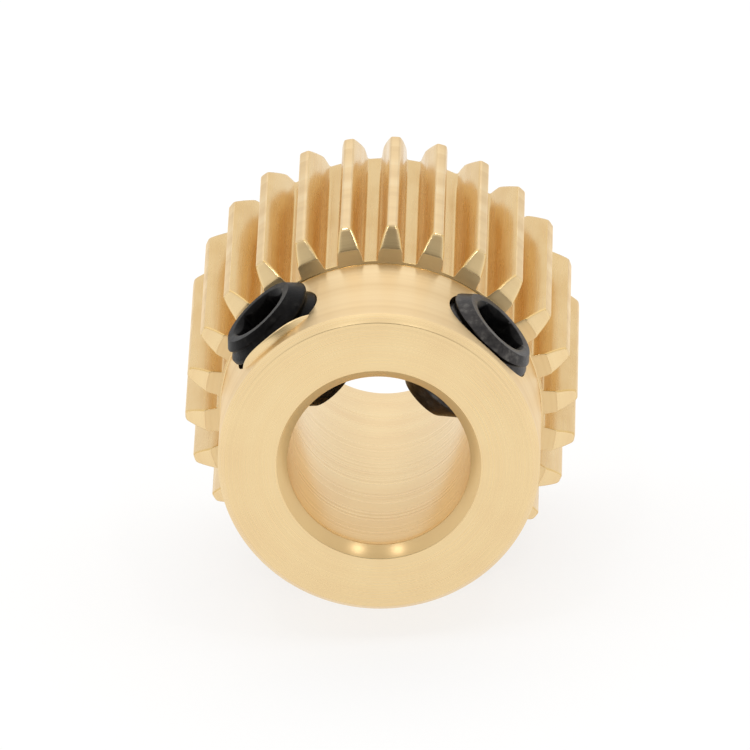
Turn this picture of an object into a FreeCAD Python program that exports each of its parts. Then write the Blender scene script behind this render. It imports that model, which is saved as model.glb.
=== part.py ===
import FreeCAD, Part
import math
import os

from FreeCAD import Vector

# Extruder drive gear: a brass toothed ring and plain hub in one piece, with two grub screws.
# The bore runs along Y. The origin is on the bore axis, at the shoulder between the hub and
# the toothed ring. The hub points to -Y and the gear lies on its teeth, +Z up. Millimetres.

# Gear
TOOTH_COUNT = 26
TIP_RADIUS = 5.40
ROOT_RADIUS = 4.48
HUB_RADIUS = 4.40
BORE_RADIUS = 2.50
HUB_LENGTH = 3.70
RING_LENGTH = 7.30

# Tooth section: half widths at the tip, half way down the flank and at the root
TIP_HALF_WIDTH = 0.13
MIDDLE_HALF_WIDTH = 0.288
ROOT_HALF_WIDTH = 0.35
TIP_ROUNDING = 0.09
ROOT_ROUNDING = 0.06

# Edge breaks: each chamfer's size across the bore axis, and its length along it
RING_CHAMFER = 0.54
RING_CHAMFER_LENGTH = 0.42
HUB_CHAMFER = 0.18
HUB_CHAMFER_LENGTH = 0.25
BORE_CHAMFER = 0.30
BORE_CHAMFER_LENGTH = 0.30
BORE_RELIEF = 0.01
BORE_RELIEF_MARGIN = 0.1

# Grub screws: M3 x 3, hexagon socket, cup point
SCREW_LENGTH = 3.0
THREAD_RADIUS = 1.45
THREAD_PITCH = 0.5
THREAD_DEPTH = 0.29
THREAD_CREST = 0.06
THREAD_FLOOR = 0.10
SCREW_END_RADIUS = 1.12
SCREW_END_CHAMFER = 0.33
POINT_RADIUS = 0.70
CUP_RADIUS = 0.58
CUP_DEPTH = 0.30
SOCKET_ACROSS_FLATS = 1.5
SOCKET_DEPTH = 1.3
SOCKET_MOUTH_RADIUS = 0.93

# Screw places: the angle of each hole from +X towards +Z, and where its outer end stands
SCREW_HOLE_RADIUS = 1.50
SCREW_FROM_HUB_FACE = 2.0
LEFT_SCREW_ANGLE = 128.5
RIGHT_SCREW_ANGLE = 41.5
LEFT_SCREW_OUTER_END = 4.95
RIGHT_SCREW_OUTER_END = 4.68
LEFT_SOCKET_TURN = 12.0
RIGHT_SOCKET_TURN = 5.0

# Derived
TOOTH_PITCH_ANGLE = 360.0 / TOOTH_COUNT
FIRST_TOOTH_ANGLE = 90.0 + TOOTH_PITCH_ANGLE / 2.0
MIDDLE_RADIUS = (TIP_RADIUS + ROOT_RADIUS) / 2.0
HUB_FACE = -HUB_LENGTH
SCREW_Y = HUB_FACE + SCREW_FROM_HUB_FACE
BORE_AXIS = Vector(0, 1, 0)
PAST = 1.0
SPIRAL_STEPS = 8


def around_bore(radius, angle, y=0.0):
    """Point at a radius and an angle in degrees from +X towards +Z."""
    turn = math.radians(angle)
    return Vector(radius * math.cos(turn), y, radius * math.sin(turn))


def around_screw(radius, turn):
    """Point at a radius and an angle in radians about a screw's own axis, Z."""
    return Vector(radius * math.cos(turn), radius * math.sin(turn), 0)


def flank_point(radius, half_width, tooth_angle, side):
    """Point on one flank of a tooth, side -1 before the tooth's centre and +1 after it."""
    offset = math.degrees(math.asin(half_width / radius))
    return around_bore(radius, tooth_angle + side * offset)


def turned(points, axis):
    """Solid of revolution of (radius, distance along the axis) points about the bore or Z axis."""
    corners = [Vector(radius, 0, along) for radius, along in points]
    if axis == BORE_AXIS:
        corners = [Vector(radius, along, 0) for radius, along in points]
    outline = Part.makePolygon(corners + [corners[0]])
    return Part.Face(outline).revolve(Vector(0, 0, 0), axis, 360)


def tooth_outline():
    """Closed outline of all the teeth: two flank arcs, a tip arc and a floor arc for each."""
    edges = []
    for number in range(TOOTH_COUNT):
        angle = FIRST_TOOTH_ANGLE + number * TOOTH_PITCH_ANGLE
        next_angle = angle + TOOTH_PITCH_ANGLE
        root_in = flank_point(ROOT_RADIUS, ROOT_HALF_WIDTH, angle, -1)
        middle_in = flank_point(MIDDLE_RADIUS, MIDDLE_HALF_WIDTH, angle, -1)
        tip_in = flank_point(TIP_RADIUS, TIP_HALF_WIDTH, angle, -1)
        tip_out = flank_point(TIP_RADIUS, TIP_HALF_WIDTH, angle, 1)
        middle_out = flank_point(MIDDLE_RADIUS, MIDDLE_HALF_WIDTH, angle, 1)
        root_out = flank_point(ROOT_RADIUS, ROOT_HALF_WIDTH, angle, 1)
        next_root = flank_point(ROOT_RADIUS, ROOT_HALF_WIDTH, next_angle, -1)
        floor_middle = around_bore(ROOT_RADIUS, angle + TOOTH_PITCH_ANGLE / 2.0)
        edges.append(Part.Arc(root_in, middle_in, tip_in).toShape())
        edges.append(Part.Arc(tip_in, around_bore(TIP_RADIUS, angle), tip_out).toShape())
        edges.append(Part.Arc(tip_out, middle_out, root_out).toShape())
        edges.append(Part.Arc(root_out, floor_middle, next_root).toShape())
    return Part.Wire(edges)


def edges_along_bore(solid, low_radius, high_radius):
    """The straight edges along the bore whose distance from the axis is in the given band."""
    found = []
    for edge in solid.Edges:
        start = edge.Vertexes[0].Point
        end = edge.Vertexes[-1].Point
        radius = math.hypot(start.x, start.z)
        if abs(start.y - end.y) > RING_LENGTH / 2.0 and low_radius < radius < high_radius:
            found.append(edge)
    return found


def toothed_ring():
    """The toothed ring with rounded tooth corners and a chamfer at both ends."""
    ring = Part.Face(tooth_outline()).extrude(BORE_AXIS * RING_LENGTH)
    ring = ring.makeFillet(TIP_ROUNDING, edges_along_bore(ring, MIDDLE_RADIUS, TIP_RADIUS + PAST))
    ring = ring.makeFillet(ROOT_ROUNDING, edges_along_bore(ring, 0, MIDDLE_RADIUS))
    envelope = turned([
        (0, 0),
        (TIP_RADIUS - RING_CHAMFER, 0),
        (TIP_RADIUS + RING_CHAMFER, 2 * RING_CHAMFER_LENGTH),
        (TIP_RADIUS + RING_CHAMFER, RING_LENGTH - 2 * RING_CHAMFER_LENGTH),
        (TIP_RADIUS - RING_CHAMFER, RING_LENGTH),
        (0, RING_LENGTH),
    ], BORE_AXIS)
    return ring.common(envelope)


def hub():
    """The plain hub, with its outer edge broken at the front face."""
    return turned([
        (0, HUB_FACE),
        (HUB_RADIUS - HUB_CHAMFER, HUB_FACE),
        (HUB_RADIUS, HUB_FACE + HUB_CHAMFER_LENGTH),
        (HUB_RADIUS, 0),
        (0, 0),
    ], BORE_AXIS)


def bore():
    """The space of the through bore, flared at both mouths.

    From the screw holes forward it opens by the relief, so that a raised thread edge clears the shaft.
    """
    past_mouth = BORE_RADIUS + 2 * BORE_CHAMFER
    relief_end = HUB_FACE + BORE_CHAMFER_LENGTH * (1 - BORE_RELIEF / BORE_CHAMFER)
    relief_start = SCREW_Y + SCREW_HOLE_RADIUS + BORE_RELIEF_MARGIN
    return turned([
        (0, HUB_FACE - BORE_CHAMFER_LENGTH),
        (past_mouth, HUB_FACE - BORE_CHAMFER_LENGTH),
        (BORE_RADIUS + BORE_RELIEF, relief_end),
        (BORE_RADIUS, relief_start),
        (BORE_RADIUS, RING_LENGTH - BORE_CHAMFER_LENGTH),
        (past_mouth, RING_LENGTH + BORE_CHAMFER_LENGTH),
        (0, RING_LENGTH + BORE_CHAMFER_LENGTH),
    ], BORE_AXIS)


def screw_hole(angle):
    """The space of one cross hole, from the bore axis out through the hub."""
    start = Vector(0, SCREW_Y, 0)
    return Part.makeCylinder(SCREW_HOLE_RADIUS, HUB_RADIUS + PAST, start, around_bore(1, angle))


def drive_gear():
    """The one-piece gear: ring and hub joined, then bored and cross drilled."""
    gear = toothed_ring().fuse(hub())
    gear = gear.cut(bore())
    for angle in (LEFT_SCREW_ANGLE, RIGHT_SCREW_ANGLE):
        gear = gear.cut(screw_hole(angle))
    return gear


def spiral(start_radius, end_radius, start_turn, end_turn):
    """Curve about Z whose radius changes evenly with the angle."""
    points = []
    for step in range(SPIRAL_STEPS + 1):
        share = step / SPIRAL_STEPS
        radius = start_radius + (end_radius - start_radius) * share
        points.append(around_screw(radius, start_turn + (end_turn - start_turn) * share))
    curve = Part.BSplineCurve()
    curve.interpolate(points)
    return curve.toShape()


def threaded_rod():
    """A rod with a helical thread: its cross section, turned once for each pitch it rises."""
    floor_radius = THREAD_RADIUS - THREAD_DEPTH
    crest_turn = 2 * math.pi * THREAD_CREST / THREAD_PITCH
    floor_turn = 2 * math.pi * THREAD_FLOOR / THREAD_PITCH
    flank_turn = math.pi - (crest_turn + floor_turn) / 2.0
    crest_end = crest_turn / 2.0
    floor_start = crest_end + flank_turn
    floor_end = floor_start + floor_turn
    crest = Part.Arc(
        around_screw(THREAD_RADIUS, -crest_end),
        around_screw(THREAD_RADIUS, 0),
        around_screw(THREAD_RADIUS, crest_end),
    )
    floor = Part.Arc(
        around_screw(floor_radius, floor_start),
        around_screw(floor_radius, (floor_start + floor_end) / 2.0),
        around_screw(floor_radius, floor_end),
    )
    section = Part.Wire([
        crest.toShape(),
        spiral(THREAD_RADIUS, floor_radius, crest_end, floor_start),
        floor.toShape(),
        spiral(floor_radius, THREAD_RADIUS, floor_end, floor_end + flank_turn),
    ])
    length = SCREW_LENGTH + 2 * THREAD_PITCH
    axis = Part.Wire([Part.makeLine(Vector(0, 0, 0), Vector(0, 0, length))])
    sweep = Part.BRepOffsetAPI.MakePipeShell(axis)
    sweep.setAuxiliarySpine(Part.Wire(Part.makeHelix(THREAD_PITCH, length, THREAD_RADIUS)), True, 0)
    sweep.add(section, False, False)
    sweep.build()
    sweep.makeSolid()
    rod = sweep.shape()
    rod.translate(Vector(0, 0, -THREAD_PITCH))
    return rod


def socket():
    """The space of the hexagon socket: flats, coned floor and a small mouth chamfer."""
    corner_radius = SOCKET_ACROSS_FLATS / math.sqrt(3)
    corners = []
    for number in range(6):
        corners.append(around_screw(corner_radius, math.radians(60 * number)))
    hexagon = Part.Face(Part.makePolygon(corners + [corners[0]]))
    hexagon.translate(Vector(0, 0, SCREW_LENGTH - SOCKET_DEPTH))
    flats = hexagon.extrude(Vector(0, 0, SOCKET_DEPTH + PAST))
    floor_radius = SOCKET_ACROSS_FLATS / 2.0
    floor_depth = floor_radius / math.sqrt(3)
    floor = turned([
        (0, SCREW_LENGTH - SOCKET_DEPTH - floor_depth),
        (floor_radius, SCREW_LENGTH - SOCKET_DEPTH),
        (0, SCREW_LENGTH - SOCKET_DEPTH),
    ], Vector(0, 0, 1))
    mouth = turned([
        (0, SCREW_LENGTH - SOCKET_MOUTH_RADIUS),
        (SOCKET_MOUTH_RADIUS + PAST, SCREW_LENGTH + PAST),
        (0, SCREW_LENGTH + PAST),
    ], Vector(0, 0, 1))
    return flats.fuse(floor).fuse(mouth)


def grub_screw():
    """One screw standing on its cup point at the origin, socket up."""
    outer_radius = THREAD_RADIUS + THREAD_DEPTH
    end_slope = SCREW_END_CHAMFER / (THREAD_RADIUS - SCREW_END_RADIUS)
    envelope = turned([
        (0, CUP_DEPTH),
        (CUP_RADIUS, 0),
        (POINT_RADIUS, 0),
        (outer_radius, outer_radius - POINT_RADIUS),
        (outer_radius, SCREW_LENGTH - end_slope * (outer_radius - SCREW_END_RADIUS)),
        (SCREW_END_RADIUS, SCREW_LENGTH),
        (0, SCREW_LENGTH),
    ], Vector(0, 0, 1))
    return threaded_rod().common(envelope).cut(socket())


def placed_screw(angle, outer_end, socket_turn):
    """A screw moved into the hole at the given angle, its outer end at the given radius."""
    screw = grub_screw()
    screw.rotate(Vector(0, 0, 0), Vector(0, 0, 1), socket_turn)
    screw.translate(Vector(0, 0, outer_end - SCREW_LENGTH))
    screw.rotate(Vector(0, 0, 0), BORE_AXIS, 90 - angle)
    screw.translate(Vector(0, SCREW_Y, 0))
    return screw


def save(name, shape):
    """Write one part, and print what shows that it is one sound solid."""
    shape = shape.removeSplitter()
    if len(shape.Solids) == 1:
        shape = shape.Solids[0]
    shape.exportStep("parts/" + name + ".step")
    print(name, "valid", shape.isValid(), "solids", len(shape.Solids), "volume", round(shape.Volume, 3))


os.makedirs("parts", exist_ok=True)
save("drive_gear", drive_gear())
save("grub_screw_left", placed_screw(LEFT_SCREW_ANGLE, LEFT_SCREW_OUTER_END, LEFT_SOCKET_TURN))
save("grub_screw_right", placed_screw(RIGHT_SCREW_ANGLE, RIGHT_SCREW_OUTER_END, RIGHT_SOCKET_TURN))
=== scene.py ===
import math

import bmesh
import bpy
from mathutils import Matrix, Vector


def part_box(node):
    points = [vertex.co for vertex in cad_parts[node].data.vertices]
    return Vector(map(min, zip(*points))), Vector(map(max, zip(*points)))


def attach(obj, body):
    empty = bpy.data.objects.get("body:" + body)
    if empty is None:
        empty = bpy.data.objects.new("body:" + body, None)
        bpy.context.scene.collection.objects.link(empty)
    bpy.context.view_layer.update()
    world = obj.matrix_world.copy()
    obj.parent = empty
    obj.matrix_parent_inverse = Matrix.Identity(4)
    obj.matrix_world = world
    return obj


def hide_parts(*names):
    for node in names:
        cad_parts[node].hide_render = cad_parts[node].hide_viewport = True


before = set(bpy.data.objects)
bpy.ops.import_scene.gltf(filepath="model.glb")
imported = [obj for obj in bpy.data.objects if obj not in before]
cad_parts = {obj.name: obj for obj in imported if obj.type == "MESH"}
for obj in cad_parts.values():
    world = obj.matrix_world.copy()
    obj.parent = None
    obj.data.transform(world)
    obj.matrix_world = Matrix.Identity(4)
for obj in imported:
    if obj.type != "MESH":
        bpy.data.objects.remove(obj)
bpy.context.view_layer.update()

# The gear's bore runs along Y, its hub points to -Y, and the origin is at the shoulder between
# the hub and the toothed ring. Lengths here are in millimetres, and MM turns them into metres.
MM = 0.001

# ---------------------------------------------------------------------------
# Driving dimensions
# ---------------------------------------------------------------------------

# Places read from the frame
gear_low, gear_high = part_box("drive_gear")
HUB_FACE = gear_low.y / MM
RING_LENGTH = gear_high.y / MM
FLOOR_HEIGHT = gear_low.z / MM

# Gear, with each chamfer's size across and then its length along the bore
TOOTH_COUNT = 26
TOOTH_PITCH = 2 * math.pi / TOOTH_COUNT
FIRST_TOOTH = math.pi / 2 + TOOTH_PITCH / 2
TIP_RADIUS = 5.40
ROOT_RADIUS = 4.48
HUB_RADIUS = 4.40
BORE_RADIUS = 2.50
TIP_HALF_WIDTH = 0.13
MIDDLE_HALF_WIDTH = 0.288
ROOT_HALF_WIDTH = 0.35
TIP_ROUNDING = 0.09
ROOT_ROUNDING = 0.06
RING_CHAMFER = 0.54
RING_CHAMFER_LENGTH = 0.42
FAR_CHAMFER_LENGTH = 0.62
HUB_CHAMFER = 0.18
HUB_CHAMFER_LENGTH = 0.25
BORE_CHAMFER = 0.30
BORE_CHAMFER_LENGTH = 0.30
EDGE_BREAK = 0.03
TOOTH_EDGE_BREAK = 0.018
CHAMFER_BLEND = 0.05
SHOULDER_FILLET = ((0.006, -0.008), (0.025, 0.0))
BORE_RING_SPACING = 0.3

# Holes for the grub screws
SCREW_Y = HUB_FACE + 2.0
SCREW_HOLE_RADIUS = 1.44
SCREW_HOLE_EDGE = 0.012
CUTTER_START = 0.6
CUTTER_END = HUB_RADIUS + 1

# Grub screws
SCREW_LENGTH = 3.0
THREAD_RADIUS = 1.42
THREAD_PITCH = 0.5
THREAD_DEPTH = 0.15
THREAD_CREST = 0.065
THREAD_FLOOR = 0.03
END_RADIUS = 1.12
END_CHAMFER = 0.33
POINT_RADIUS = 0.70
CUP_RADIUS = 0.58
CUP_DEPTH = 0.30
SOCKET_FLATS = 1.5
SOCKET_DEPTH = 1.3
SOCKET_MOUTH = 0.91
SOCKET_EDGE = 0.012
WALL_EDGE = 0.015
MOUTH_EDGE = 0.02
DRILL_FLAT = 0.05
SCREW_COLUMNS = 96

# Each screw's angle round the bore, distance of its socket end from the axis, turns of its socket
# and thread, how much painted light lightens its oxide (the right screw painted lighter for the
# light that falls on it), and how rough its smoothest and roughest places are
SCREWS = {
    "left": {
        "angle": 128.5,
        "outer_end": 4.95,
        "socket_turn": 12.0,
        "thread_turn": 232.5,
        "painted_light": 0.35,
        "roughness": (0.42, 0.54),
    },
    "right": {
        "angle": 41.5,
        "outer_end": 4.68,
        "socket_turn": 5.0,
        "thread_turn": 0.0,
        "painted_light": 2.2,
        "roughness": (0.32, 0.46),
    },
}

# Lip of brass that the tap pushed up in front of the left hole, between two turns about the hole
LIP_HEIGHT = 0.27
LIP_THICKNESS = 0.08
LIP_SUNK = 0.1
LIP_START = 214.0
LIP_END = 322.0
LIP_STATIONS = 72

# Meshes: where shading breaks, in degrees, and the distance within which points are joined
SHARP_ANGLE = 40.0
SCREW_SHARP_ANGLE = 35.0
WELD_DISTANCE = 0.0005

# Faces are told apart by how much of their normal lies along the bore: the least of a flat tooth
# end, the most of a bore chamfer, the least of any end or its chamfer, and the least of a tooth
# chamfer as a share of its true value
TOOTH_END_FACING = 0.95
BORE_CHAMFER_FACING = 0.9
END_FACING = 0.3
TOOTH_CHAMFER_SHARE = 0.94

# Machining marks: turn of the grooves' direction as a share of a whole turn, how dense lines are
# along the bore against outward, and the noise's detail and usual spread
GRAIN_ALONG_BORE = 0.0
GRAIN_ROUND_BORE = 0.25
LINES_ALONG_BORE = 0.77
NOISE_DETAIL = 3
NOISE_LOW = 0.3
NOISE_HIGH = 0.7

# Camera: direction it looks in, in degrees, its distance and the width it sees there, and where it
# aims from the centre of the hub face
CAMERA_AZIMUTH = -2.593
CAMERA_ELEVATION = 23.269
CAMERA_ROLL = -4.07
CAMERA_DISTANCE = 500.0
CAMERA_VIEW_WIDTH = 20.455
CAMERA_AIM_RIGHT = -0.102
CAMERA_AIM_UP = 2.460
SENSOR_WIDTH = 36.0

# Light, as directions from the gear: where the tent opens, where it is brightest, and two lamps.
# The brightest patch runs from its edge to its middle, both as cosines of the angle from it. The
# power of a lamp is in watts.
OPENING_DIRECTION = (0.04, -0.87, 0.49)
BRIGHTEST_DIRECTION = (0.03, 0.45, 0.89)
BRIGHTEST_EDGE = 0.80
BRIGHTEST_MIDDLE = 0.98
BRIGHTEST_STRENGTH = 1.4
LAMP_DIRECTIONS = {"left_lamp": (-0.213, -0.389, 0.897), "right_lamp": (0.330, -0.389, 0.861)}
LAMP_DISTANCE = 400.0
LAMP_SIZE = 38.0
LAMP_POWER = 0.062
FLOOR_HALF_WIDTH = 400.0


# ---------------------------------------------------------------------------
# Meshes made of rings of points
# ---------------------------------------------------------------------------

def polar(radius, angle, y):
    """Point about the bore, its angle measured from +X towards +Z."""
    return Vector((radius * math.cos(angle), y, radius * math.sin(angle)))


def arc(centre, radius, start, end, steps):
    """Points of an arc in a plane, both ends included."""
    points = []
    for step in range(steps + 1):
        angle = start + (end - start) * step / steps
        points.append((centre[0] + radius * math.cos(angle), centre[1] + radius * math.sin(angle)))
    return points


def circles_meet(centre, radius, far_radius, side):
    """Where a circle about a centre meets one about the origin, on the given side of their line."""
    distance = math.hypot(centre[0], centre[1])
    along = (distance ** 2 + far_radius ** 2 - radius ** 2) / (2 * distance)
    across = side * math.sqrt(far_radius ** 2 - along ** 2)
    toward = (centre[0] / distance, centre[1] / distance)
    return (toward[0] * along - toward[1] * across, toward[1] * along + toward[0] * across)


def circle_through(first, second, third):
    """Centre and radius of the circle through three points of a plane."""
    ax, ay = first
    bx, by = second
    cx, cy = third
    twice = 2 * (ax * (by - cy) + bx * (cy - ay) + cx * (ay - by))
    a2 = ax * ax + ay * ay
    b2 = bx * bx + by * by
    c2 = cx * cx + cy * cy
    x = (a2 * (by - cy) + b2 * (cy - ay) + c2 * (ay - by)) / twice
    y = (a2 * (cx - bx) + b2 * (ax - cx) + c2 * (bx - ax)) / twice
    return (x, y), math.hypot(ax - x, ay - y)


def rounded(path, radius, steps=3):
    """A path of (radius, y) points whose inner corners are replaced by small arcs."""
    result = [path[0]]
    for before, corner, after in zip(path, path[1:], path[2:]):
        corner_at = Vector(corner)
        arriving = (Vector(before) - corner_at).normalized()
        leaving = (Vector(after) - corner_at).normalized()
        half = arriving.angle(leaving) / 2
        reach = radius / math.tan(half)
        start = corner_at + arriving * reach
        end = corner_at + leaving * reach
        for step in range(steps + 1):
            share = step / steps
            inner = start.lerp(corner_at, share).lerp(corner_at.lerp(end, share), share)
            result.append((inner.x, inner.y))
    result.append(path[-1])
    return result


def shade(mesh, sharp_angle):
    """Smooth shading, except where faces turn by more than an angle in degrees."""
    mesh.shade_smooth()
    mesh.set_sharp_from_angle(angle=math.radians(sharp_angle))


def mesh_object(name, vertices, faces):
    """An object from points in millimetres, smooth except where its faces turn sharply."""
    mesh = bpy.data.meshes.new(name)
    mesh.from_pydata([Vector(v) * MM for v in vertices], [], faces)
    work = bmesh.new()
    work.from_mesh(mesh)
    bmesh.ops.recalc_face_normals(work, faces=work.faces)
    work.to_mesh(mesh)
    work.free()
    shade(mesh, SHARP_ANGLE)
    item = bpy.data.objects.new(name, mesh)
    bpy.context.scene.collection.objects.link(item)
    return item


def ring_faces(row_count, column_count, closed_rows=False):
    """Quads between neighbouring rings of points, and from the last to the first if rows close."""
    faces = []
    last = row_count if closed_rows else row_count - 1
    for row in range(last):
        here = row * column_count
        there = ((row + 1) % row_count) * column_count
        for column in range(column_count):
            right = (column + 1) % column_count
            faces.append((here + column, here + right, there + right, there + column))
    return faces


# ---------------------------------------------------------------------------
# Gear
# ---------------------------------------------------------------------------

def flank_circle():
    """Circle of a tooth's right flank, in the tooth's own plane: across, then outward."""
    points = []
    middle_radius = (TIP_RADIUS + ROOT_RADIUS) / 2
    stations = (
        (TIP_RADIUS, TIP_HALF_WIDTH),
        (middle_radius, MIDDLE_HALF_WIDTH),
        (ROOT_RADIUS, ROOT_HALF_WIDTH),
    )
    for radius, half_width in stations:
        points.append((half_width, math.sqrt(radius ** 2 - half_width ** 2)))
    return circle_through(*points)


def half_tooth(tip_radius, inset):
    """Half a tooth's outline from its centre line to the middle of the gap, as (turn, radius).

    An inset shrinks the outline, which rounds the edge between the teeth and an end of the ring.
    """
    round_steps = 3
    flank_steps = 7
    corner_shrink = 0.8
    centre, flank_radius = flank_circle()
    flank = flank_radius - inset
    tip = tip_radius - inset
    floor = ROOT_RADIUS - inset
    corner_round = TIP_ROUNDING - inset * corner_shrink
    root_round = ROOT_ROUNDING + inset
    corner = circles_meet(centre, flank - corner_round, tip - corner_round, -1)
    root = circles_meet(centre, flank + root_round, floor + root_round, -1)
    corner_start = math.atan2(corner[1], corner[0])
    corner_end = math.atan2(corner[1] - centre[1], corner[0] - centre[0])
    root_start = math.atan2(root[1] - centre[1], root[0] - centre[0])
    root_end = math.atan2(root[1], root[0])
    points = []
    points += arc((0, 0), tip, math.pi / 2, corner_start, round_steps)[:-1]
    points += arc(corner, corner_round, corner_start, corner_end, round_steps)[:-1]
    points += arc(centre, flank, corner_end, root_start, flank_steps)[:-1]
    points += arc(root, root_round, root_start + math.pi, root_end + math.pi, round_steps)[:-1]
    points += arc((0, 0), floor, root_end, math.pi / 2 - TOOTH_PITCH / 2, round_steps)
    return [(math.pi / 2 - math.atan2(y, x), math.hypot(x, y)) for x, y in points]


def ring_row(tip_radius, inset, y):
    """The whole ring's outline at one place along the bore, as (angle, radius, y)."""
    half = half_tooth(tip_radius, inset)
    row = []
    for number in range(TOOTH_COUNT):
        centre = FIRST_TOOTH - number * TOOTH_PITCH
        for turn, radius in reversed(half[1:]):
            row.append((centre + turn, radius, y))
        for turn, radius in half[:-1]:
            row.append((centre - turn, radius, y))
    return row


def ring_stations(chamfer_length):
    """(tip radius, inset, depth from the end face) down one chamfered end of the ring."""
    slope = RING_CHAMFER / chamfer_length
    start_radius = TIP_RADIUS - RING_CHAMFER
    edge_steps = 4
    chamfer_steps = 5
    blend_steps = 4
    stations = []
    for step in range(edge_steps + 1):
        turn = math.pi / 2 * step / edge_steps
        depth = TOOTH_EDGE_BREAK * (1 - math.cos(turn))
        inset = TOOTH_EDGE_BREAK * (1 - math.sin(turn))
        stations.append((start_radius + depth * slope, inset, depth))
    plain_length = chamfer_length - CHAMFER_BLEND - TOOTH_EDGE_BREAK
    for step in range(1, chamfer_steps + 1):
        depth = TOOTH_EDGE_BREAK + plain_length * step / chamfer_steps
        stations.append((start_radius + depth * slope, 0, depth))
    for step in range(1, blend_steps + 1):
        share = step / blend_steps
        depth = chamfer_length - CHAMFER_BLEND + 2 * CHAMFER_BLEND * share
        lost = CHAMFER_BLEND * slope * (1 - share) ** 2
        stations.append((TIP_RADIUS - lost, 0, depth))
    stations.append((TIP_RADIUS, 0, chamfer_length + 3 * CHAMFER_BLEND))
    return stations


def gear_rows():
    """Every ring of points of the gear, from the front of the bore round to the front again."""
    front_mouth = HUB_FACE + BORE_CHAMFER_LENGTH
    hub_path = rounded([
        (BORE_RADIUS, front_mouth + BORE_RING_SPACING),
        (BORE_RADIUS, front_mouth),
        (BORE_RADIUS + BORE_CHAMFER, HUB_FACE),
        (HUB_RADIUS - HUB_CHAMFER, HUB_FACE),
        (HUB_RADIUS, HUB_FACE + HUB_CHAMFER_LENGTH),
        (HUB_RADIUS, -EDGE_BREAK),
    ], EDGE_BREAK)
    hub_path += [(HUB_RADIUS + outward, y) for outward, y in SHOULDER_FILLET]
    back_mouth = RING_LENGTH - BORE_CHAMFER_LENGTH
    back_path = rounded([
        (ROOT_RADIUS - 2 * EDGE_BREAK, RING_LENGTH),
        (BORE_RADIUS + BORE_CHAMFER, RING_LENGTH),
        (BORE_RADIUS, back_mouth),
        (BORE_RADIUS, back_mouth - BORE_RING_SPACING),
    ], EDGE_BREAK)
    front_rows = []
    for tip, inset, depth in ring_stations(RING_CHAMFER_LENGTH):
        front_rows.append(ring_row(tip, inset, depth))
    back_rows = []
    for tip, inset, depth in reversed(ring_stations(FAR_CHAMFER_LENGTH)):
        back_rows.append(ring_row(tip, inset, RING_LENGTH - depth))
    angles = [angle for angle, radius, y in front_rows[0]]
    rows = []
    for radius, y in hub_path:
        rows.append([(angle, radius, y) for angle in angles])
    rows += front_rows + back_rows
    for radius, y in back_path:
        rows.append([(angle, radius, y) for angle in angles])
    return rows


def hub_height(radius, turn):
    """Height of the hub's surface over the bore's axis, at a place about a cross hole."""
    return math.sqrt(HUB_RADIUS ** 2 - (radius * math.cos(turn)) ** 2)


def hole_point(angle, radius, turn, height):
    """Point about a cross hole's axis, at a height over the bore's axis."""
    outward = Vector((math.cos(angle), 0, math.sin(angle)))
    across = Vector((-math.sin(angle), 0, math.cos(angle)))
    along = Vector((0, 1, 0))
    point = Vector((0, SCREW_Y, 0)) + outward * height
    return point + across * (radius * math.cos(turn)) + along * (radius * math.sin(turn))


def hole_cutter(name, angle):
    """Solid of one cross hole: a cylinder that flares a little where it leaves the hub."""
    columns = 96
    wide_radius = SCREW_HOLE_RADIUS + 2 * SCREW_HOLE_EDGE
    rings = [[], [], [], []]
    for column in range(columns):
        turn = 2 * math.pi * column / columns
        surface = hub_height(SCREW_HOLE_RADIUS, turn)
        profile = (
            (SCREW_HOLE_RADIUS, CUTTER_START),
            (SCREW_HOLE_RADIUS, surface - SCREW_HOLE_EDGE),
            (wide_radius, surface + SCREW_HOLE_EDGE),
            (wide_radius, CUTTER_END),
        )
        for ring, (radius, height) in zip(rings, profile):
            ring.append(hole_point(angle, radius, turn, height))
    vertices = [point for ring in rings for point in ring]
    faces = ring_faces(len(rings), columns)
    faces.append(tuple(reversed(range(columns))))
    last = (len(rings) - 1) * columns
    faces.append(tuple(range(last, last + columns)))
    return mesh_object(name, vertices, faces)


def cut(body, cutters):
    """Takes the cutters out of a body's mesh and deletes them."""
    for cutter in cutters:
        modifier = body.modifiers.new("cut", "BOOLEAN")
        modifier.operation = "DIFFERENCE"
        modifier.solver = "EXACT"
        modifier.object = cutter
    graph = bpy.context.evaluated_depsgraph_get()
    mesh = bpy.data.meshes.new_from_object(body.evaluated_get(graph))
    body.modifiers.clear()
    body.data = mesh
    for cutter in cutters:
        bpy.data.objects.remove(cutter)


def chamfer_facing(along):
    """Least part along the bore of the normal of a face on the nearer one of the ring's chamfers."""
    length = RING_CHAMFER_LENGTH if along < RING_LENGTH / 2 else FAR_CHAMFER_LENGTH
    return TOOTH_CHAMFER_SHARE * RING_CHAMFER / math.hypot(RING_CHAMFER, length)


def finish_of(face):
    """Name of the finish of one face of the gear, by where it is and which way it faces."""
    radius = math.hypot(face.center.x, face.center.z) / MM
    along = face.center.y / MM
    facing = abs(face.normal.y)
    if along > -EDGE_BREAK and radius > HUB_RADIUS:
        if facing > TOOTH_END_FACING:
            return "tooth_end"
        if facing > chamfer_facing(along):
            return "tooth_chamfer"
        return "cut" if radius < TIP_RADIUS - EDGE_BREAK else "turned"
    if facing > END_FACING:
        in_mouth = radius < BORE_RADIUS + BORE_CHAMFER and facing < BORE_CHAMFER_FACING
        return "countersunk" if in_mouth else "faced"
    return "bored" if radius < BORE_RADIUS + EDGE_BREAK else "turned"


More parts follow.
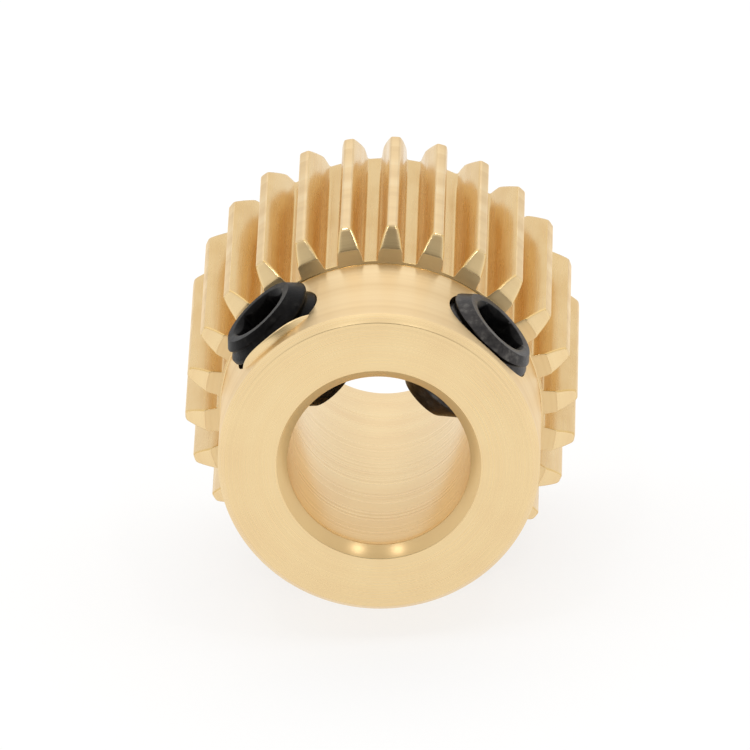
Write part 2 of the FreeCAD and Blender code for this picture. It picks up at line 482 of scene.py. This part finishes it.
def make_gear(finishes):
    """The gear as one mesh with its two cross holes, each face in one of the named finishes."""
    rows = gear_rows()
    columns = len(rows[0])
    vertices = [polar(radius, angle, y) for row in rows for angle, radius, y in row]
    gear = mesh_object("brass_gear", vertices, ring_faces(len(rows), columns, closed_rows=True))
    for material in finishes.values():
        gear.data.materials.append(material)
    names = list(finishes)
    for face in gear.data.polygons:
        face.material_index = names.index(finish_of(face))
    cutters = []
    for side, screw in SCREWS.items():
        cutters.append(hole_cutter("hole_" + side, math.radians(screw["angle"])))
    cut(gear, cutters)
    shade(gear.data, SHARP_ANGLE)
    weigh = gear.modifiers.new("flat_faces_stay_flat", "WEIGHTED_NORMAL")
    weigh.keep_sharp = True
    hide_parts("drive_gear")
    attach(gear, "gear")


def lip_profile(height):
    """Section of the lip, as (radius from the hole's axis, height over the hub)."""
    half = LIP_THICKNESS / 2
    crest_steps = 6
    section = [(-half, -LIP_SUNK)]
    section += arc((0, height - half), half, math.pi, 0, crest_steps)
    section.append((half, -LIP_SUNK))
    return [(SCREW_HOLE_RADIUS + half + sideways, rise) for sideways, rise in section]


def make_lip(angle, material):
    """A low wall of brass round the front of a screw hole, fading to nothing at both ends."""
    vertices = []
    for station in range(LIP_STATIONS + 1):
        share = station / LIP_STATIONS
        turn = math.radians(LIP_START + (LIP_END - LIP_START) * share)
        fullness = 1 - abs(2 * share - 1) ** 3
        for radius, rise in lip_profile(LIP_HEIGHT * fullness):
            height = hub_height(radius, turn) + rise
            vertices.append(hole_point(angle, radius, turn, height))
    columns = len(lip_profile(LIP_HEIGHT))
    faces = ring_faces(LIP_STATIONS + 1, columns)
    faces.append(tuple(range(columns)))
    faces.append(tuple(range(LIP_STATIONS * columns, (LIP_STATIONS + 1) * columns)))
    lip = mesh_object("burr_lip", vertices, faces)
    lip.data.materials.append(material)
    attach(lip, "gear")


# ---------------------------------------------------------------------------
# Grub screws
# ---------------------------------------------------------------------------

def thread_radius(height):
    """Radius of the thread at a height from the middle of a crest."""
    distance = abs((height / THREAD_PITCH + 0.5) % 1.0 - 0.5) * THREAD_PITCH
    share = (distance - THREAD_CREST) / (THREAD_PITCH / 2 - THREAD_CREST - THREAD_FLOOR)
    share = min(1.0, max(0.0, share))
    roundness = 0.2
    eased = share * (1 - roundness) + roundness * share * share * (3 - 2 * share)
    return THREAD_RADIUS - THREAD_DEPTH * eased


def screw_envelope(height):
    """Largest radius that the cone of the point and the socket end's chamfer leave at a height."""
    point = POINT_RADIUS + height
    slope = (THREAD_RADIUS - END_RADIUS) / END_CHAMFER
    end = END_RADIUS + (SCREW_LENGTH - height) * slope
    return min(point, end)


def hexagon_radius(turn):
    """Distance from a hexagon's centre to its side, with a corner at turn 0."""
    sector = math.pi / 3
    from_flat = (turn % sector) - sector / 2
    return SOCKET_FLATS / 2 / math.cos(from_flat)


def column_turn(column):
    """Turn of one of the columns of points round a screw."""
    return 2 * math.pi * column / SCREW_COLUMNS


def screw_skin(thread_turn):
    """Vertices and faces of the threaded side of a screw that stands on its point.

    Each row of points climbs one pitch in a turn, so that rows follow the thread, and its last
    column joins the first column of the row that is one pitch higher. Rows start and end past the
    screw's own ends, where their heights are held to the end's height.
    """
    pitch_rows = 20
    spare_rows = 2
    step = THREAD_PITCH / pitch_rows
    first = -pitch_rows - spare_rows
    last = int(SCREW_LENGTH / step) + spare_rows + pitch_rows
    row_count = last - first + 1
    vertices = []
    for row in range(first, last + 1):
        crest_height = row * step
        for column in range(SCREW_COLUMNS):
            height = crest_height + THREAD_PITCH * column / SCREW_COLUMNS
            height = min(SCREW_LENGTH, max(0.0, height))
            radius = min(thread_radius(crest_height), screw_envelope(height))
            turn = column_turn(column) + thread_turn
            vertices.append(Vector((radius * math.cos(turn), radius * math.sin(turn), height)))
    faces = []
    for index in range(row_count - 1):
        for column in range(SCREW_COLUMNS):
            here = index * SCREW_COLUMNS + column
            above = here + SCREW_COLUMNS
            if column < SCREW_COLUMNS - 1:
                faces.append((here, here + 1, above + 1, above))
            elif index + pitch_rows + 1 < row_count:
                wrap = (index + pitch_rows) * SCREW_COLUMNS
                faces.append((here, wrap, wrap + SCREW_COLUMNS, above))
    return vertices, faces


def socket_profile(turn):
    """Points (radius, height) from a screw's rim down into its socket, at a turn from a corner."""
    wall = hexagon_radius(turn)
    wall_top = SCREW_LENGTH - (SOCKET_MOUTH - wall)
    floor = SCREW_LENGTH - SOCKET_DEPTH
    drill_point = floor - SOCKET_FLATS / 2 / math.sqrt(3)
    return [
        (END_RADIUS, SCREW_LENGTH),
        (SOCKET_MOUTH + MOUTH_EDGE, SCREW_LENGTH),
        (SOCKET_MOUTH - MOUTH_EDGE, SCREW_LENGTH - SOCKET_EDGE),
        (wall + SOCKET_EDGE, wall_top + SOCKET_EDGE),
        (wall, wall_top - WALL_EDGE),
        (wall, floor),
        (DRILL_FLAT, drill_point),
    ]


def cup_profile():
    """Points (radius, height) from the rim of a screw's point up into its cup."""
    return [
        (POINT_RADIUS, 0.0),
        (CUP_RADIUS + MOUTH_EDGE, 0.0),
        (CUP_RADIUS - MOUTH_EDGE, WALL_EDGE),
        (DRILL_FLAT, CUP_DEPTH),
    ]


def add_screw_end(vertices, faces, profiles, facing_up):
    """Adds one end of a screw to its mesh: a profile of points for each column, and a lid."""
    start = len(vertices)
    row_count = len(profiles[0])
    for row in range(row_count):
        for column, profile in enumerate(profiles):
            turn = column_turn(column)
            radius, height = profile[row]
            vertices.append(Vector((radius * math.cos(turn), radius * math.sin(turn), height)))
    last = (row_count - 1) * SCREW_COLUMNS
    end_faces = ring_faces(row_count, SCREW_COLUMNS)
    end_faces.append(tuple(range(last, last + SCREW_COLUMNS)))
    for face in end_faces:
        placed = tuple(start + index for index in face)
        faces.append(placed if facing_up else tuple(reversed(placed)))


def in_socket(face):
    """Whether a face of a screw that stands on its point is inside its socket."""
    middle = face.center / MM
    lowest = SCREW_LENGTH - SOCKET_DEPTH - SOCKET_FLATS
    highest = SCREW_LENGTH - 2 * WALL_EDGE
    return lowest < middle.z < highest and math.hypot(middle.x, middle.y) < SOCKET_MOUTH


def screw_place(screw):
    """Where a screw that stands on its point has to go to lie in its hole."""
    along_bore = Matrix.Translation(Vector((0, SCREW_Y, 0)) * MM)
    tilt = Matrix.Rotation(math.pi / 2 - math.radians(screw["angle"]), 4, "Y")
    point_height = screw["outer_end"] - SCREW_LENGTH
    return along_bore @ tilt @ Matrix.Translation(Vector((0, 0, point_height)) * MM)


def make_screw(side, screw, skin_finish, socket_finish):
    """One grub screw, built on its point and then laid in its hole."""
    vertices, faces = screw_skin(math.radians(screw["thread_turn"]))
    socket_turn = math.radians(screw["socket_turn"])
    turns = [column_turn(column) - socket_turn for column in range(SCREW_COLUMNS)]
    add_screw_end(vertices, faces, [socket_profile(turn) for turn in turns], facing_up=True)
    add_screw_end(vertices, faces, [cup_profile() for turn in turns], facing_up=False)
    item = mesh_object("grub_screw_detail_" + side, vertices, faces)
    weld(item)
    item.data.materials.append(skin_finish)
    item.data.materials.append(socket_finish)
    for face in item.data.polygons:
        if in_socket(face):
            face.material_index = 1
    item.data.transform(screw_place(screw))
    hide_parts("grub_screw_" + side)
    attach(item, side + "_screw")


def weld(item):
    """Joins the points of a mesh that lie on each other and drops faces left with no area."""
    work = bmesh.new()
    work.from_mesh(item.data)
    bmesh.ops.remove_doubles(work, verts=work.verts, dist=WELD_DISTANCE * MM)
    bmesh.ops.dissolve_degenerate(work, edges=work.edges, dist=WELD_DISTANCE * MM)
    bmesh.ops.recalc_face_normals(work, faces=work.faces)
    work.to_mesh(item.data)
    work.free()
    shade(item.data, SCREW_SHARP_ANGLE)


# ---------------------------------------------------------------------------
# Materials
# ---------------------------------------------------------------------------

def new_material(name):
    """A node material, its tree and its main shader."""
    material = bpy.data.materials.new(name)
    material.use_nodes = True
    tree = material.node_tree
    return material, tree, tree.nodes["Principled BSDF"]


def scaled_position(tree, factors):
    """The place on the object in millimetres, each axis times its own factor."""
    coordinates = tree.nodes.new("ShaderNodeTexCoord")
    scale = tree.nodes.new("ShaderNodeVectorMath")
    scale.operation = "MULTIPLY"
    scale.inputs[1].default_value = [factor / MM for factor in factors]
    tree.links.new(coordinates.outputs["Object"], scale.inputs[0])
    return scale.outputs["Vector"]


def lathe_position(tree):
    """A number that rises outward over the faces and along the bore over the round surfaces."""
    across = tree.nodes.new("ShaderNodeVectorMath")
    across.operation = "LENGTH"
    tree.links.new(scaled_position(tree, (1, 0, 1)), across.inputs[0])
    split = tree.nodes.new("ShaderNodeSeparateXYZ")
    tree.links.new(scaled_position(tree, (0, LINES_ALONG_BORE, 0)), split.inputs[0])
    total = tree.nodes.new("ShaderNodeMath")
    tree.links.new(across.outputs["Value"], total.inputs[0])
    tree.links.new(split.outputs["Y"], total.inputs[1])
    return total.outputs["Value"]


def line_noise(tree, place, lines_per_mm):
    """Uneven lines: noise that changes only with one number."""
    noise = tree.nodes.new("ShaderNodeTexNoise")
    noise.noise_dimensions = "1D"
    noise.inputs["Scale"].default_value = lines_per_mm
    noise.inputs["Detail"].default_value = NOISE_DETAIL
    tree.links.new(place, noise.inputs["W"])
    return noise.outputs["Fac"]


def space_noise(tree, place, patches_per_mm):
    """Noise in space, longer along an axis whose part of the place is scaled down."""
    noise = tree.nodes.new("ShaderNodeTexNoise")
    noise.inputs["Scale"].default_value = patches_per_mm
    noise.inputs["Detail"].default_value = NOISE_DETAIL
    tree.links.new(place, noise.inputs["Vector"])
    return noise.outputs["Fac"]


def between(tree, factor, low, high):
    """A number that follows noise, from low to high over the noise's usual spread."""
    spread = tree.nodes.new("ShaderNodeMapRange")
    spread.inputs["From Min"].default_value = NOISE_LOW
    spread.inputs["From Max"].default_value = NOISE_HIGH
    spread.inputs["To Min"].default_value = low
    spread.inputs["To Max"].default_value = high
    tree.links.new(factor, spread.inputs["Value"])
    return spread.outputs["Result"]


def colours(tree, factor, stops):
    """A colour ramp of (position, colour) stops."""
    ramp = tree.nodes.new("ShaderNodeValToRGB")
    elements = ramp.color_ramp.elements
    while len(elements) < len(stops):
        elements.new(0.5)
    for element, (position, colour) in zip(elements, stops):
        element.position = position
        element.color = (*colour, 1)
    tree.links.new(factor, ramp.inputs["Fac"])
    return ramp.outputs["Color"]


def bumped(tree, shader, height, depth):
    """Raises the surface by a height of 0 to 1 times a depth in millimetres."""
    bump = tree.nodes.new("ShaderNodeBump")
    bump.inputs["Distance"].default_value = depth * MM
    tree.links.new(height, bump.inputs["Height"])
    tree.links.new(bump.outputs["Normal"], shader.inputs["Normal"])


def grained(tree, shader, amount, turn):
    """Stretches highlights across fine grooves that run round the bore or along it."""
    tangent = tree.nodes.new("ShaderNodeTangent")
    tangent.direction_type = "RADIAL"
    tangent.axis = "Y"
    tree.links.new(tangent.outputs["Tangent"], shader.inputs["Tangent"])
    shader.inputs["Anisotropic"].default_value = amount
    shader.inputs["Anisotropic Rotation"].default_value = turn


def turned_brass():
    """Brass stock off the lathe: satin, with grooves round the hub and the tooth tips."""
    material, tree, shader = new_material("turned_brass")
    shader.inputs["Metallic"].default_value = 1.0
    place = lathe_position(tree)
    fine = line_noise(tree, place, 9)
    broad = line_noise(tree, place, 1.7)
    tint = colours(tree, broad, [
        (0.30, (0.80, 0.585, 0.315)),
        (0.55, (0.86, 0.645, 0.36)),
        (0.75, (0.88, 0.68, 0.40)),
    ])
    tree.links.new(tint, shader.inputs["Base Color"])
    tree.links.new(between(tree, fine, 0.30, 0.38), shader.inputs["Roughness"])
    bumped(tree, shader, fine, 0.003)
    grained(tree, shader, 0.9, GRAIN_ROUND_BORE)
    return material


def faced_brass(name, smoothest, roughest, grain=0.0, metallic=1.0, tone=(1, 1, 1)):
    """Brass faced or bored with a fine feed: faint rings about the bore, its colour times a tone."""
    material, tree, shader = new_material(name)
    shader.inputs["Metallic"].default_value = metallic
    place = lathe_position(tree)
    fine = line_noise(tree, place, 11)
    broad = line_noise(tree, place, 2.3)
    patches = space_noise(tree, scaled_position(tree, (1, 1, 1)), 0.9)
    half_of_each = tree.nodes.new("ShaderNodeMath")
    half_of_each.operation = "MULTIPLY_ADD"
    half_of_each.inputs[1].default_value = 0.5
    tree.links.new(broad, half_of_each.inputs[0])
    tree.links.new(between(tree, patches, 0.15, 0.35), half_of_each.inputs[2])
    brass = (
        (0.30, (0.83, 0.61, 0.33)),
        (0.55, (0.86, 0.65, 0.355)),
        (0.75, (0.88, 0.68, 0.38)),
    )
    stops = []
    for position, colour in brass:
        stops.append((position, [part * share for part, share in zip(colour, tone)]))
    tint = colours(tree, half_of_each.outputs["Value"], stops)
    tree.links.new(tint, shader.inputs["Base Color"])
    tree.links.new(between(tree, fine, smoothest, roughest), shader.inputs["Roughness"])
    bumped(tree, shader, fine, 0.0012)
    grained(tree, shader, grain, GRAIN_ROUND_BORE)
    return material


def cut_brass():
    """Brass left by the tooth cutter: streaks along the teeth, a little duller, and darker and
    redder by painted shade for the light lost between the teeth.
    """
    material, tree, shader = new_material("cut_brass")
    shader.inputs["Metallic"].default_value = 1.0
    streaks = space_noise(tree, scaled_position(tree, (1, 0.04, 1)), 6)
    patches = space_noise(tree, scaled_position(tree, (1, 0.4, 1)), 1.4)
    # Painted shade: a darker, redder brass that stands in for the light lost bouncing between the
    # teeth.
    tint = colours(tree, patches, [
        (0.35, (0.72, 0.485, 0.195)),
        (0.60, (0.77, 0.545, 0.245)),
    ])
    tree.links.new(tint, shader.inputs["Base Color"])
    tree.links.new(between(tree, streaks, 0.20, 0.34), shader.inputs["Roughness"])
    bumped(tree, shader, streaks, 0.006)
    grained(tree, shader, 0.6, GRAIN_ALONG_BORE)
    return material


def black_oxide(name, painted_light, smoothest, roughest):
    """Oiled black oxide: near black and mottled, its colour scaled by an amount of painted light."""
    material, tree, shader = new_material(name)
    shader.inputs["Metallic"].default_value = 0.95
    mottle = space_noise(tree, scaled_position(tree, (1, 1, 1)), 5)
    grit = space_noise(tree, scaled_position(tree, (1, 1, 1)), 22)
    # Painted light: the tint is scaled by an amount given per screw, so the right screw's copy is
    # lighter for the light that falls on it.
    tint = colours(tree, mottle, [
        (0.35, [painted_light * part for part in (0.015, 0.014, 0.014)]),
        (0.55, [painted_light * part for part in (0.026, 0.024, 0.023)]),
        (0.72, [painted_light * part for part in (0.055, 0.052, 0.048)]),
    ])
    tree.links.new(tint, shader.inputs["Base Color"])
    tree.links.new(between(tree, mottle, smoothest, roughest), shader.inputs["Roughness"])
    bumped(tree, shader, grit, 0.006)
    return material


def floor_material():
    """A matt floor that glows a little, so that it is as pale as the tent round it."""
    material, tree, shader = new_material("pale_floor")
    shader.inputs["Base Color"].default_value = (0.25, 0.25, 0.25, 1)
    shader.inputs["Roughness"].default_value = 0.9
    shader.inputs["Emission Color"].default_value = (1, 1, 1, 1)
    shader.inputs["Emission Strength"].default_value = 0.75
    return material


# ---------------------------------------------------------------------------
# Studio
# ---------------------------------------------------------------------------

def make_floor():
    """A square floor that the lowest teeth stand on."""
    corners = []
    for x, y in ((-1, -1), (1, -1), (1, 1), (-1, 1)):
        corners.append((x * FLOOR_HALF_WIDTH, y * FLOOR_HALF_WIDTH, FLOOR_HEIGHT))
    floor = mesh_object("studio_floor", corners, [(0, 1, 2, 3)])
    floor.data.materials.append(floor_material())


def make_world():
    """A white tent, dim in front where it opens for the camera and brightest behind and above."""
    world = bpy.data.worlds.new("studio")
    bpy.context.scene.world = world
    world.use_nodes = True
    tree = world.node_tree
    background = tree.nodes["Background"]
    coordinates = tree.nodes.new("ShaderNodeTexCoord")
    to_opening = tree.nodes.new("ShaderNodeVectorMath")
    to_opening.operation = "DOT_PRODUCT"
    to_opening.inputs[1].default_value = OPENING_DIRECTION
    tree.links.new(coordinates.outputs["Generated"], to_opening.inputs[0])
    light = colours(tree, to_opening.outputs["Value"], [
        (0.42, (1.0, 1.0, 1.0)),
        (0.65, (0.88, 0.88, 0.87)),
        (0.80, (0.66, 0.65, 0.62)),
        (0.93, (0.25, 0.24, 0.21)),
    ])
    tree.links.new(light, background.inputs["Color"])
    to_brightest = tree.nodes.new("ShaderNodeVectorMath")
    to_brightest.operation = "DOT_PRODUCT"
    to_brightest.inputs[1].default_value = BRIGHTEST_DIRECTION
    tree.links.new(coordinates.outputs["Generated"], to_brightest.inputs[0])
    boost = tree.nodes.new("ShaderNodeMapRange")
    boost.inputs["From Min"].default_value = BRIGHTEST_EDGE
    boost.inputs["From Max"].default_value = BRIGHTEST_MIDDLE
    boost.inputs["To Min"].default_value = 1.0
    boost.inputs["To Max"].default_value = BRIGHTEST_STRENGTH
    tree.links.new(to_brightest.outputs["Value"], boost.inputs["Value"])
    tree.links.new(boost.outputs["Result"], background.inputs["Strength"])


def make_lamp(name, direction):
    """A square lamp in a direction from the gear, facing it."""
    data = bpy.data.lights.new(name, "AREA")
    data.size = LAMP_SIZE * MM
    data.energy = LAMP_POWER
    lamp = bpy.data.objects.new(name, data)
    toward = Vector(direction).normalized()
    lamp.location = toward * LAMP_DISTANCE * MM
    lamp.rotation_euler = toward.to_track_quat("Z", "Y").to_euler()
    bpy.context.scene.collection.objects.link(lamp)


def make_camera():
    """The camera, rolled a little because the gear rests on two teeth."""
    azimuth = math.radians(CAMERA_AZIMUTH)
    elevation = math.radians(CAMERA_ELEVATION)
    roll = math.radians(CAMERA_ROLL)
    level = math.cos(elevation)
    forward = Vector((math.sin(azimuth) * level, math.cos(azimuth) * level, -math.sin(elevation)))
    right = Vector((math.cos(azimuth), -math.sin(azimuth), 0))
    up = right.cross(forward)
    rolled_right = right * math.cos(roll) + up * math.sin(roll)
    rolled_up = up * math.cos(roll) - right * math.sin(roll)
    hub_centre = Vector((0, HUB_FACE, 0))
    place = hub_centre + rolled_right * CAMERA_AIM_RIGHT + rolled_up * CAMERA_AIM_UP
    place -= forward * CAMERA_DISTANCE
    data = bpy.data.cameras.new("camera")
    data.sensor_width = SENSOR_WIDTH
    data.lens = SENSOR_WIDTH * CAMERA_DISTANCE / CAMERA_VIEW_WIDTH
    data.clip_start = 0.02 * CAMERA_DISTANCE * MM
    data.clip_end = 20 * CAMERA_DISTANCE * MM
    camera = bpy.data.objects.new("camera", data)
    axes = Matrix((rolled_right, rolled_up, -forward)).transposed()
    camera.matrix_world = Matrix.Translation(place * MM) @ axes.to_4x4()
    bpy.context.scene.collection.objects.link(camera)
    bpy.context.scene.camera = camera


# ---------------------------------------------------------------------------
# The scene
# ---------------------------------------------------------------------------

gear_finishes = {
    "turned": turned_brass(),
    "faced": faced_brass("faced_brass", 0.24, 0.32),
    "tooth_chamfer": faced_brass("chamfered_brass", 0.16, 0.22),
    "cut": cut_brass(),
    "tooth_end": faced_brass("tooth_end_brass", 0.38, 0.46, grain=0.8),
    "bored": faced_brass("bored_brass", 0.26, 0.34),
    "countersunk": faced_brass(
        "countersunk_brass", 0.20, 0.28, metallic=0.3, tone=(1.02, 0.95, 0.80)
    ),
}
make_gear(gear_finishes)
make_lip(math.radians(SCREWS["left"]["angle"]), gear_finishes["faced"])
# The socket's oxide and each screw's skin are copies of one oxide with different amounts of painted
# light.
socket_oxide = black_oxide("black_oxide_socket", 0.3, 0.40, 0.52)
for side, screw in SCREWS.items():
    skin_oxide = black_oxide("black_oxide_" + side, screw["painted_light"], *screw["roughness"])
    make_screw(side, screw, skin_oxide, socket_oxide)

make_floor()
make_world()
for name, direction in LAMP_DIRECTIONS.items():
    make_lamp(name, direction)
make_camera()
bpy.context.scene.view_settings.view_transform = "Standard"
